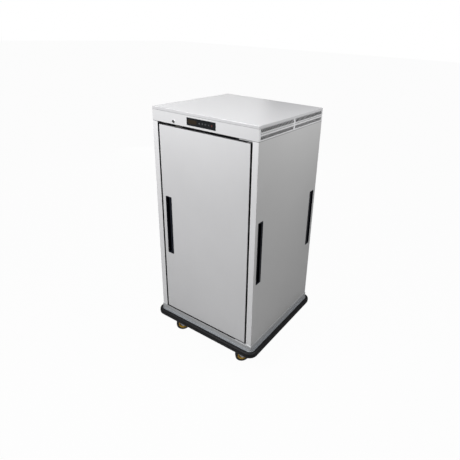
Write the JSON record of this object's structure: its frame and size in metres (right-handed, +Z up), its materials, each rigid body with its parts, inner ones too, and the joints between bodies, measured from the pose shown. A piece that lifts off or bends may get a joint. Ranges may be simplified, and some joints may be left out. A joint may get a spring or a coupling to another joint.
{
  "type": "heated banquet cart",
  "caption": "Insulated heated food-holding cabinet on a bumpered wheeled base, with a hinged door, recessed grips, vented head and control display.",
  "frame": {"origin": "on the floor, under the middle of the bumper's outline", "axes": "+Z up, -Y towards the door side, +X to the right of a person who faces the door"},
  "size_m": [0.881, 0.841, 1.688],
  "materials": {
    "galvanised_base": "satin zinc-coated sheet",
    "black_bumper": "matt moulded rubber",
    "base_rails": "brushed stainless",
    "side_panels": "brushed stainless",
    "rear_steel": "brushed stainless",
    "frame_steel": "brushed stainless",
    "fascia_steel": "brushed stainless",
    "vent_steel": "brushed stainless",
    "lid_steel": "brushed stainless",
    "liner_steel": "smooth stainless",
    "door_steel": "brushed stainless",
    "door_back_steel": "smooth stainless",
    "rack_steel": "smooth stainless",
    "shelf_wire": "bright plated wire",
    "zinc_screws": "bright zinc",
    "insulation": "rigid foam",
    "grip_plastic": "fine-grained moulded plastic",
    "heater_sheath": "heat-tinted sheath",
    "fan_alloy": "bare pressed alloy",
    "motor_can": "satin black",
    "display_plastic": "glossy black",
    "key_plastic": "satin grey",
    "key_red_plastic": "satin red",
    "lock_chrome": "bright plated",
    "control_box": "satin grey",
    "inlet_plastic": "moulded black",
    "gasket_rubber": "soft matt seal",
    "bush_plastic": "self-lubricating plastic",
    "hinge_steel": "machined stainless",
    "caster_zinc": "zinc plated",
    "caster_tyre": "matt rubber",
    "caster_yellow": "yellow moulded polyurethane centre",
    "pedal_plastic": "moulded red"
  },
  "bodies": {
    "cabinet": {"base_frame": "galvanised_base", "bumper": "black_bumper", "plinth": "base_rails", "left_side_panel": "side_panels", "right_side_panel": "side_panels", "rear_panel": "rear_steel", "panel_screws": "zinc_screws", "door_frame": "frame_steel", "inner_liner": "liner_steel", "wall_insulation": "insulation", "head_tray": "rear_steel", "fascia_panel": "fascia_steel", "left_vent_panel": "vent_steel", "right_vent_panel": "vent_steel", "top_lid": "lid_steel", "side_grip_cups": "grip_plastic", "pan_racks": "rack_steel", "shelf_lower": "shelf_wire", "shelf_middle": "shelf_wire", "shelf_upper": "shelf_wire", "water_pan": "liner_steel", "plenum_baffle": "liner_steel", "heater_element": "heater_sheath", "fan_motor": "motor_can", "temperature_probe": "rack_steel", "display_module": "display_plastic", "lock_housing": "lock_chrome", "control_board": "control_box", "power_inlet": "inlet_plastic", "hinge_brackets": "hinge_steel", "caster_plates": "caster_zinc", "caster_bolts": "zinc_screws"},
    "door": {"door_skin": "door_steel", "door_liner": "door_back_steel", "door_core": "insulation", "door_gasket": "gasket_rubber", "door_grip_cup": "grip_plastic", "hinge_bushes": "bush_plastic"},
    "lock": {"lock_barrel": "lock_chrome"},
    "fan": {"fan_wheel": "fan_alloy"},
    "power_key": {"key_power": "key_plastic"},
    "timer_key": {"key_timer": "key_plastic"},
    "down_key": {"key_down": "key_plastic"},
    "up_key": {"key_up": "key_plastic"},
    "heat_key": {"key_heat": "key_red_plastic"},
    "fork_front_left": {"caster_fork_front_left": "caster_zinc"},
    "wheel_front_left": {"caster_tyre_front_left": "caster_tyre", "caster_rim_front_left": "caster_yellow"},
    "pedal_front_left": {"brake_pedal_front_left": "pedal_plastic"},
    "fork_rear_left": {"caster_fork_rear_left": "caster_zinc"},
    "wheel_rear_left": {"caster_tyre_rear_left": "caster_tyre", "caster_rim_rear_left": "caster_yellow"},
    "fork_front_right": {"caster_fork_front_right": "caster_zinc"},
    "wheel_front_right": {"caster_tyre_front_right": "caster_tyre", "caster_rim_front_right": "caster_yellow"},
    "pedal_front_right": {"brake_pedal_front_right": "pedal_plastic"},
    "fork_rear_right": {"caster_fork_rear_right": "caster_zinc"},
    "wheel_rear_right": {"caster_tyre_rear_right": "caster_tyre", "caster_rim_rear_right": "caster_yellow"}
  },
  "joints": [
    {"name": "door_hinge", "type": "hinge", "parent": "cabinet", "child": "door", "pos_m": [0.3385, -0.3715, 0.9], "axis": [0, 0, 1], "range_deg": [0, 120]},
    {"name": "lock_turn", "type": "hinge", "parent": "cabinet", "child": "lock", "pos_m": [-0.224, -0.38, 1.618], "axis": [0, 1, 0], "range_deg": [0, 90]},
    {"name": "fan_spin", "type": "hinge", "parent": "cabinet", "child": "fan", "pos_m": [0, 0, 1.56], "axis": [0, 0, 1], "continuous": true},
    {"name": "power_key_press", "type": "slide", "parent": "cabinet", "child": "power_key", "axis": [0, 1, 0], "range_m": [0, 0.001], "stiffness_N_per_m": 300, "springref_m": -0.0005},
    {"name": "timer_key_press", "type": "slide", "parent": "cabinet", "child": "timer_key", "axis": [0, 1, 0], "range_m": [0, 0.001], "stiffness_N_per_m": 300, "springref_m": -0.0005},
    {"name": "down_key_press", "type": "slide", "parent": "cabinet", "child": "down_key", "axis": [0, 1, 0], "range_m": [0, 0.001], "stiffness_N_per_m": 300, "springref_m": -0.0005},
    {"name": "up_key_press", "type": "slide", "parent": "cabinet", "child": "up_key", "axis": [0, 1, 0], "range_m": [0, 0.001], "stiffness_N_per_m": 300, "springref_m": -0.0005},
    {"name": "heat_key_press", "type": "slide", "parent": "cabinet", "child": "heat_key", "axis": [0, 1, 0], "range_m": [0, 0.001], "stiffness_N_per_m": 300, "springref_m": -0.0005},
    {"name": "swivel_front_left", "type": "hinge", "parent": "cabinet", "child": "fork_front_left", "pos_m": [-0.279, -0.349, 0.11], "axis": [0, 0, 1], "continuous": true},
    {"name": "roll_front_left", "type": "hinge", "parent": "fork_front_left", "child": "wheel_front_left", "pos_m": [-0.2592, -0.3292, 0.05], "axis": [-0.7071, 0.7071, 0], "continuous": true},
    {"name": "brake_front_left", "type": "hinge", "parent": "fork_front_left", "child": "pedal_front_left", "pos_m": [-0.24364, -0.31364, 0.105], "axis": [-0.7071, 0.7071, 0], "range_deg": [0, 10]},
    {"name": "swivel_rear_left", "type": "hinge", "parent": "cabinet", "child": "fork_rear_left", "pos_m": [-0.279, 0.349, 0.11], "axis": [0, 0, 1], "continuous": true},
    {"name": "roll_rear_left", "type": "hinge", "parent": "fork_rear_left", "child": "wheel_rear_left", "pos_m": [-0.2592, 0.3688, 0.05], "axis": [-0.7071, 0.7071, 0], "continuous": true},
    {"name": "swivel_front_right", "type": "hinge", "parent": "cabinet", "child": "fork_front_right", "pos_m": [0.279, -0.349, 0.11], "axis": [0, 0, 1], "continuous": true},
    {"name": "roll_front_right", "type": "hinge", "parent": "fork_front_right", "child": "wheel_front_right", "pos_m": [0.2988, -0.3292, 0.05], "axis": [-0.7071, 0.7071, 0], "continuous": true},
    {"name": "brake_front_right", "type": "hinge", "parent": "fork_front_right", "child": "pedal_front_right", "pos_m": [0.31436, -0.31364, 0.105], "axis": [-0.7071, 0.7071, 0], "range_deg": [0, 10]},
    {"name": "swivel_rear_right", "type": "hinge", "parent": "cabinet", "child": "fork_rear_right", "pos_m": [0.279, 0.349, 0.11], "axis": [0, 0, 1], "continuous": true},
    {"name": "roll_rear_right", "type": "hinge", "parent": "fork_rear_right", "child": "wheel_rear_right", "pos_m": [0.2988, 0.3688, 0.05], "axis": [-0.7071, 0.7071, 0], "continuous": true}
  ]
}
